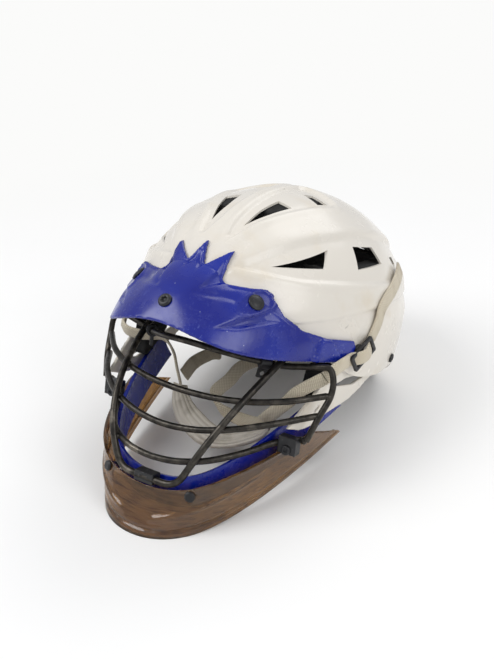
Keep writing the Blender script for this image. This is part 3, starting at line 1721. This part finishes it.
@dataclass
class Webbing:
    """A flat woven strap along stations of a point and the direction across it."""

    bench: Bench
    width: float = 12.0
    thickness: float = 2.0
    selvage: float = 0.5
    shoulder_share: float = 0.6
    shoulder: float = 0.12
    crown: float = 0.16
    edge_shares: Share = (0.3, 0.7)
    span: float = 100.0
    steps: int = 10

    def section(self) -> list[Share]:
        """The strap's cross-section, across and through it."""
        half, thick, edge = self.width / 2, self.thickness, self.width / 2 - self.selvage
        side, low, high = half * self.shoulder_share, -self.shoulder, thick + self.shoulder
        lower, upper = (thick * share for share in self.edge_shares)
        return [(-edge, 0), (-side, low), (0, -self.crown), (side, low), (edge, 0), (half, lower),
                (half, upper), (edge, thick), (side, high), (0, thick + self.crown), (-side, high),
                (-edge, thick), (-half, upper), (-half, lower)]

    def ribbon(self, name: str, centres: np.ndarray, across: np.ndarray,
               turn_side: float = 1.0) -> Piece:
        """Build a closed strap with soft selvages.

        Args:
            name: Name of the piece.
            centres: Worn points along the middle of one face.
            across: Directions across the strap.
            turn_side: Which side of that face the thickness lies on.

        Returns:
            The strap, with its own map in millimetres.
        """
        across = unit(across)
        face = turn_side * unit(np.cross(across, unit(np.gradient(centres, axis=0))))
        section = self.section()
        count = len(section)
        grid = np.array([[c + a * u + f * w for u, w in section]
                         for c, a, f in zip(centres, across, face)])
        faces = grid_faces(len(grid), count, wrap=True)
        faces += [tuple(range(count)), tuple(range((len(grid) - 1) * count, len(grid) * count))]
        piece = outward(new_piece(name, self.bench.pose.rows(grid), faces))
        self.map_strap(piece, centres, across)
        return piece

    def map_strap(self, piece: Piece, centres: np.ndarray, across: np.ndarray) -> None:
        """Write across and along places, in millimetres, as the strap's map."""
        steps = np.linalg.norm(np.diff(centres, axis=0), axis=1)
        along = np.concatenate(((0,), np.cumsum(steps)))
        points = self.bench.pose.worn(places(piece))
        nearest = np.linalg.norm(points[:, None] - centres[None], axis=2).argmin(1)
        u = np.einsum("ij,ij->i", points - centres[nearest], across[nearest])
        v = along[nearest]
        layer = piece.data.uv_layers.new(name="strap_mm")
        corners = np.empty(len(piece.data.loops), np.int64)
        piece.data.loops.foreach_get("vertex_index", corners)
        layer.data.foreach_set("uv", np.stack((u[corners], v[corners]), axis=1).ravel())

    def strap(self, name: str, shares: Sequence[Station],
              turn_side: float = 1.0) -> tuple[Piece, np.ndarray]:
        """Build a strap from a table.

        Args:
            name: Name of the piece.
            shares: Stations, each a place in shares of the span and the direction across.
            turn_side: Which side of the table's face the thickness lies on.

        Returns:
            The strap and the points along its middle.
        """
        stops = [[self.span * value for value in place] for place, _ in shares]
        centres = smooth_line(stops, self.steps)
        across = smooth_line([direction for _, direction in shares], self.steps)
        return self.ribbon(name, centres, across, turn_side), centres


@dataclass
class ChinStrap:
    """Straps on both sides and the cup."""

    bench: Bench
    outer_shares: tuple[Station, ...] = (
        ((1.08, -0.637, -0.175), (0.0, 0.1, -1.0)), ((1.075, -0.75, -0.19), (0.0, 0.1, -1.0)),
        ((1.058, -0.84, -0.22), (0.12, 0.33, -0.92)), ((1.015, -0.91, -0.28), (0.39, 0.52, -0.74)))
    upper_shares: Mapping[int, tuple[Station, ...]] = field(default_factory=lambda: {
        1: (((1.011, -0.917, -0.286), (0.42, 0.5, -0.72)),
            ((0.84, -0.99, -0.425), (0.62, 0.5, -0.45)), ((0.746, -0.98, -0.545), (0.62, 0.5, -0.45)),
            ((0.65, -0.97, -0.645), (0.62, 0.45, -0.5)), ((0.545, -0.965, -0.767), (0.6, 0.4, -0.5))),
        -1: (((-1.011, -0.917, -0.286), (-0.42, 0.5, -0.72)),
             ((-0.92, -0.955, -0.33), (-0.3, 0.45, -0.8)), ((-0.78, -0.93, -0.34), (-0.2, 0.5, -0.85)),
             ((-0.62, -0.84, -0.34), (-0.3, 0.7, -0.6)), ((-0.502, -0.82, -0.442), (-0.5, 0.8, -0.25)),
             ((-0.422, -0.84, -0.593), (-0.5, 0.8, -0.2)), ((-0.37, -0.84, -0.715), (-0.5, 0.8, -0.2)))})
    lower_shares: Mapping[int, tuple[Station, ...]] = field(default_factory=lambda: {
        1: (((0.583, -0.885, -0.80), (0.0, 0.3, 0.95)), ((0.33, -0.78, -0.89), (-0.1, 0.3, 0.9)),
            ((0.03, -0.75, -0.87), (-0.35, 0.05, 0.85)),
            ((-0.09, -0.72, -0.765), (-0.66, -0.24, 0.57)),
            ((-0.03, -0.60, -0.641), (-0.66, -0.24, 0.57)),
            ((0.014, -0.40, -0.521), (-0.66, -0.24, 0.57)), ((0.22, -0.05, -0.46), (-0.4, -0.1, 0.9)),
            ((0.60, 0.18, -0.42), (-0.1, 0.0, 1.0)), ((0.95, 0.25, -0.33), (0.0, 0.0, 1.0))),
        -1: (((-0.378, -0.79, -0.64), (-0.65, -0.2, 0.74)),
             ((-0.443, -0.55, -0.591), (-0.65, -0.2, 0.74)),
             ((-0.509, -0.20, -0.597), (-0.65, -0.2, 0.74)), ((-0.56, 0.05, -0.64), (-0.5, -0.1, 0.85)),
             ((-0.70, 0.20, -0.55), (-0.3, 0.0, 0.95)), ((-0.943, 0.25, -0.33), (0.0, 0.0, 1.0)))})
    tail_stations: tuple[Point, ...] = (
        (-0.222, -0.02, 0.0), (-0.165, 0.10, 0.0), (-0.107, 0.218, 0.0), (0.085, 0.336, 0.0),
        (0.29, 0.435, 0.0))
    tail_clearance: float = 0.7
    bulge_stations: tuple[Point, ...] = (
        (-0.226, -0.028, 1.0), (-0.25, -0.06, 2.6), (-0.283, -0.10, 6.7), (-0.306, -0.122, 7.4),
        (-0.335, -0.138, 6.6), (-0.375, -0.155, 2.6), (-0.412, -0.163, 1.4))
    cup_shares: tuple[tuple[Point, ...], ...] = (
        ((-0.33, -0.81, -0.72), (-0.39, -0.84, -0.72), (-0.446, -0.86, -0.71)),
        ((-0.25, -0.87, -0.79), (-0.30, -0.92, -0.80), (-0.351, -0.99, -0.856)),
        ((-0.13, -0.92, -0.85), (-0.14, -1.0, -0.92), (-0.204, -1.06, -0.998)),
        ((0.10, -0.96, -0.933), (0.08, -1.04, -1.0), (0.036, -1.08, -1.099)),
        ((0.28, -0.97, -0.915), (0.27, -1.05, -0.99), (0.30, -1.08, -1.04)),
        ((0.448, -0.95, -0.84), (0.47, -1.01, -0.89), (0.53, -1.03, -0.92)),
        ((0.56, -0.91, -0.79), (0.58, -0.95, -0.81), (0.60, -0.96, -0.84)))
    cup_wall: float = 4.0
    cup_ribs: int = 5
    cup_fill: float = 0.4
    cup_span: float = 100.0
    cup_steps: tuple[int, int] = (12, 14)
    rib_height: float = 0.9
    cup_crown: float = 1.2
    cup_edge_round: float = 1.2
    cup_edge_angle: float = 50.0

    def build(self) -> None:
        """Build and dress all straps and the cup."""
        bench = self.bench
        webbing = Webbing(bench)
        for side, name in SIDES:
            mirrored = [((side * place[0], *place[1:]), (side * turn[0], *turn[1:]))
                        for place, turn in self.outer_shares]
            outer, _ = webbing.strap(f"outer_strap_{name}_woven", mirrored, side)
            bench.dress(outer, Slot.STRAP, stands_for=[f"outer_strap_{name}"])
            upper, _ = webbing.strap(f"upper_strap_{name}_woven", self.upper_shares[side])
            bench.dress(upper, Slot.STRAP, Body.CHIN_STRAP, [f"upper_strap_{name}"])
            lower, centres = webbing.strap(f"lower_strap_{name}_woven", self.lower_shares[side])
            start, end = (tuple(place) for place in bench.pose.rows(centres[[0, -1]]))
            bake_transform(lower)
            bench.dress(lower, Slot.STRAP, None, [f"lower_strap_{name}"])
            tail = self.laid(webbing, f"tail_strap_{name}_woven", side, self.tail_stations,
                             self.tail_clearance)
            bench.dress(tail, Slot.STRAP, stands_for=[f"tail_strap_{name}"])
            bulge = self.laid(webbing, f"buckle_strap_{name}", side, self.bulge_stations)
            bench.dress(bulge, Slot.STRAP)
        self.build_cup()

    def laid(self, webbing: Webbing, name: str, side: int, stations: Sequence[Point],
             clearance: float = 0.0) -> Piece:
        """Lay a strap on the shell's side.

        Args:
            webbing: The strap maker.
            name: Name of the piece.
            side: 1 for the wearer's left, -1 for the right.
            stations: Shares along and up the head form, and the lift above it in millimetres.
            clearance: How far the head form is grown.

        Returns:
            The strap.
        """
        head = self.bench.head
        stops = [(y * head.half_length, z * head.crown, lift) for y, z, lift in stations]
        line = smooth_line(stops, webbing.steps)
        centres = np.array([(side * head.width(y, z, clearance), y, z) for y, z, _ in line])
        _, up = head.gap(centres)
        centres = centres + up * line[:, 2:3]
        run = np.gradient(centres, axis=0)
        across = np.cross(up, run)
        face = np.cross(unit(across), run)
        return webbing.ribbon(name, centres, across, float(np.sign((face * up).sum())))

    def build_cup(self) -> None:
        """Mould the ribbed cup."""
        table = np.array(self.cup_shares) * self.cup_span
        across_steps, along_steps = self.cup_steps
        rows = np.array([smooth_line(table[:, j], across_steps) for j in range(table.shape[1])])
        grid = np.array([smooth_line(rows[:, i], along_steps) for i in range(rows.shape[1])])
        normal = forward_normals(grid)
        v = np.linspace(0, 1, grid.shape[1])
        ends = np.sin(np.linspace(0, math.pi, len(grid))) ** 0.5
        ribs = self.rib_height * np.abs(np.sin(math.pi * self.cup_ribs * v))[None] * ends[:, None]
        crown = self.cup_crown * np.sin(math.pi * v)[None] ** 0.6 * ends[:, None]
        outer = grid + normal * (ribs + crown - self.rib_height)[:, :, None]
        inner = grid - normal * self.cup_wall
        pose = self.bench.pose
        sheet = slab("chin_cup_ribbed", pose.rows(outer), pose.rows(inner))
        piece = rounded(sheet, self.cup_edge_round, self.cup_edge_angle)
        self.bench.dress(piece, Slot.CUP, Body.CHIN_STRAP, ["chin_cup"])


# Studio


@dataclass
class Studio:
    """Floor, light and the camera at the photograph's angle."""

    pose: RestingPose
    eye: Point = (355.4, -678.2, 165.7)
    aim: Point = (-15.1, -18.4, -27.3)
    roll_degrees: float = -2.45
    lens: float = 61.72
    floor: str = "#f6f5f3"
    floor_cloud: str = "#f1f0ed"
    cloud_mm: float = 300.0
    floor_half: float = 6.0
    backdrop: str = "#fbfbfa"
    backdrop_start: float = 0.34
    backdrop_full: float = 0.85
    room: tuple[float, float, float, float] = (0.93, 0.95, 1.0, 1.0)
    room_strength: float = 0.62
    lamp_aim: Point = (0, 0, 0.1)
    lamps: Mapping[str, tuple[Point, float, float]] = field(default_factory=lambda: {
        "key": ((-0.9, -0.9, 1.5), 1.1, 17.0),
        "side": ((1.3, -0.3, 1.0), 0.9, 7.0),
        "back": ((0.2, 1.4, 1.4), 1.2, 8.0)})

    def build(self) -> None:
        """Set up the floor, world, lamps and camera."""
        self.build_floor()
        self.build_world()
        for name, (place, size, power) in self.lamps.items():
            self.add_lamp(name, place, size, power)
        self.build_camera()

    def build_floor(self) -> None:
        """A pale floor that keeps the helmet's shadow."""
        corners = self.floor_half * np.array(((-1, -1, 0), (1, -1, 0), (1, 1, 0), (-1, 1, 0)))
        floor = new_piece("floor", corners, [(0, 1, 2, 3)], smooth=False)
        p = Painter("pale_matt_floor")
        tree = p.tree
        colour = p.blend(p.noise(self.cloud_mm, 2), linear(self.floor), linear(self.floor_cloud))
        matt = add(tree, "ShaderNodeBsdfPrincipled",
                   {"Base Color": colour, "Roughness": 0.9, "Specular IOR Level": 0.1})
        away = add(tree, "ShaderNodeVectorMath", {0: p.place}, operation="LENGTH").outputs["Value"]
        seen = add(tree, "ShaderNodeLightPath").outputs["Is Camera Ray"]
        share = p.maths("MULTIPLY", p.window(away, self.backdrop_start, self.backdrop_full), seen)
        pale = add(tree, "ShaderNodeEmission", {"Color": linear(self.backdrop), "Strength": 1.0})
        mixed = add(tree, "ShaderNodeMixShader", {0: share, 1: matt.outputs[0], 2: pale.outputs[0]})
        add(tree, "ShaderNodeOutputMaterial", {"Surface": mixed.outputs[0]})
        floor.data.materials.append(p.material)

    def build_world(self) -> None:
        """A pale room that is white where it is seen straight or through clear plastic."""
        world = bpy.data.worlds.new("pale_room")
        world.use_nodes = True
        tree = world.node_tree
        tree.nodes.clear()
        rays = add(tree, "ShaderNodeLightPath")
        straight = {0: rays.outputs["Is Camera Ray"], 1: rays.outputs["Is Transmission Ray"]}
        seen = add(tree, "ShaderNodeMath", straight, operation="MAXIMUM")
        soft = add(tree, "ShaderNodeBackground",
                   {"Color": self.room, "Strength": self.room_strength})
        white = add(tree, "ShaderNodeBackground", {"Color": (1.0, 1.0, 1.0, 1.0), "Strength": 1.0})
        mixed = add(tree, "ShaderNodeMixShader",
                    {0: seen.outputs[0], 1: soft.outputs[0], 2: white.outputs[0]})
        add(tree, "ShaderNodeOutputWorld", {"Surface": mixed.outputs[0]})
        bpy.context.scene.world = world

    def add_lamp(self, name: str, place: Point, size: float, power: float) -> None:
        """One soft lamp aimed at the helmet.

        Args:
            name: Name of the lamp.
            place: Where it hangs, in metres.
            size: Its side, in metres.
            power: Its power in watts.
        """
        lamp = bpy.data.lights.new(name, "AREA")
        lamp.energy, lamp.size = power, size
        holder = bpy.data.objects.new(name, lamp)
        holder.location = place
        aim = Vector(self.lamp_aim) - Vector(place)
        holder.rotation_euler = aim.to_track_quat("-Z", "Y").to_euler()
        bpy.context.scene.collection.objects.link(holder)

    def build_camera(self) -> None:
        """The camera that took the photograph."""
        eye, aim = (Vector(self.pose.rows([point])[0]) for point in (self.eye, self.aim))
        back = (eye - aim).normalized()
        right = Vector((0, 0, 1)).cross(back).normalized()
        up = back.cross(right)
        roll = math.radians(self.roll_degrees)
        turned_right = right * math.cos(roll) + up * math.sin(roll)
        turned_up = up * math.cos(roll) - right * math.sin(roll)
        camera = bpy.data.cameras.new("camera")
        camera.lens, camera.sensor_width, camera.sensor_fit = self.lens, 36.0, "HORIZONTAL"
        camera.clip_start, camera.clip_end = 0.05, 50.0
        holder = bpy.data.objects.new("camera", camera)
        rotation = Matrix((turned_right, turned_up, back)).transposed()
        holder.matrix_world = Matrix.Translation(eye) @ rotation.to_4x4()
        bpy.context.scene.collection.objects.link(holder)
        bpy.context.scene.camera = holder
        bpy.context.scene.view_settings.view_transform = "Standard"


def main() -> None:
    """Build the helmet's looks round its frame."""
    logging.basicConfig(level=logging.INFO, format="%(name)s: %(message)s")
    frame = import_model()
    pose = RestingPose.from_joint(frame["joints"][0], AXIS_PLACE)
    bench = Bench(frame, pose)
    Shell(bench).build()
    Visor(bench).build()
    FaceMask(bench).build()
    Guard(bench, "chin_guard_moulding", "chin_guard", Slot.VISOR,
          top=((-1.685, 0.198, 1.50), (-1.162, 0.453, 0.50)),
          low=((-1.635, 0.328, 1.50), (-1.427, 0.453, 0.50)),
          half_width=92.0, wall=3.0, swell=3.0).build()
    Guard(bench, "throat_guard_moulding", "throat_guard", Slot.CLEAR,
          top=((-1.78, 0.20, 1.05), (-1.24, 0.45, 0.08)),
          low=((-1.90, 0.80, 1.30), (-1.63, 0.30, 0.58)),
          half_width=93.0, wall=2.6, swell=2.0, relief=ThroatRelief()).build()
    MouldedCopies(bench).build()
    Fasteners(bench).build()
    ChinStrap(bench).build()
    Studio(pose).build()


if __name__ == "__main__":
    main()
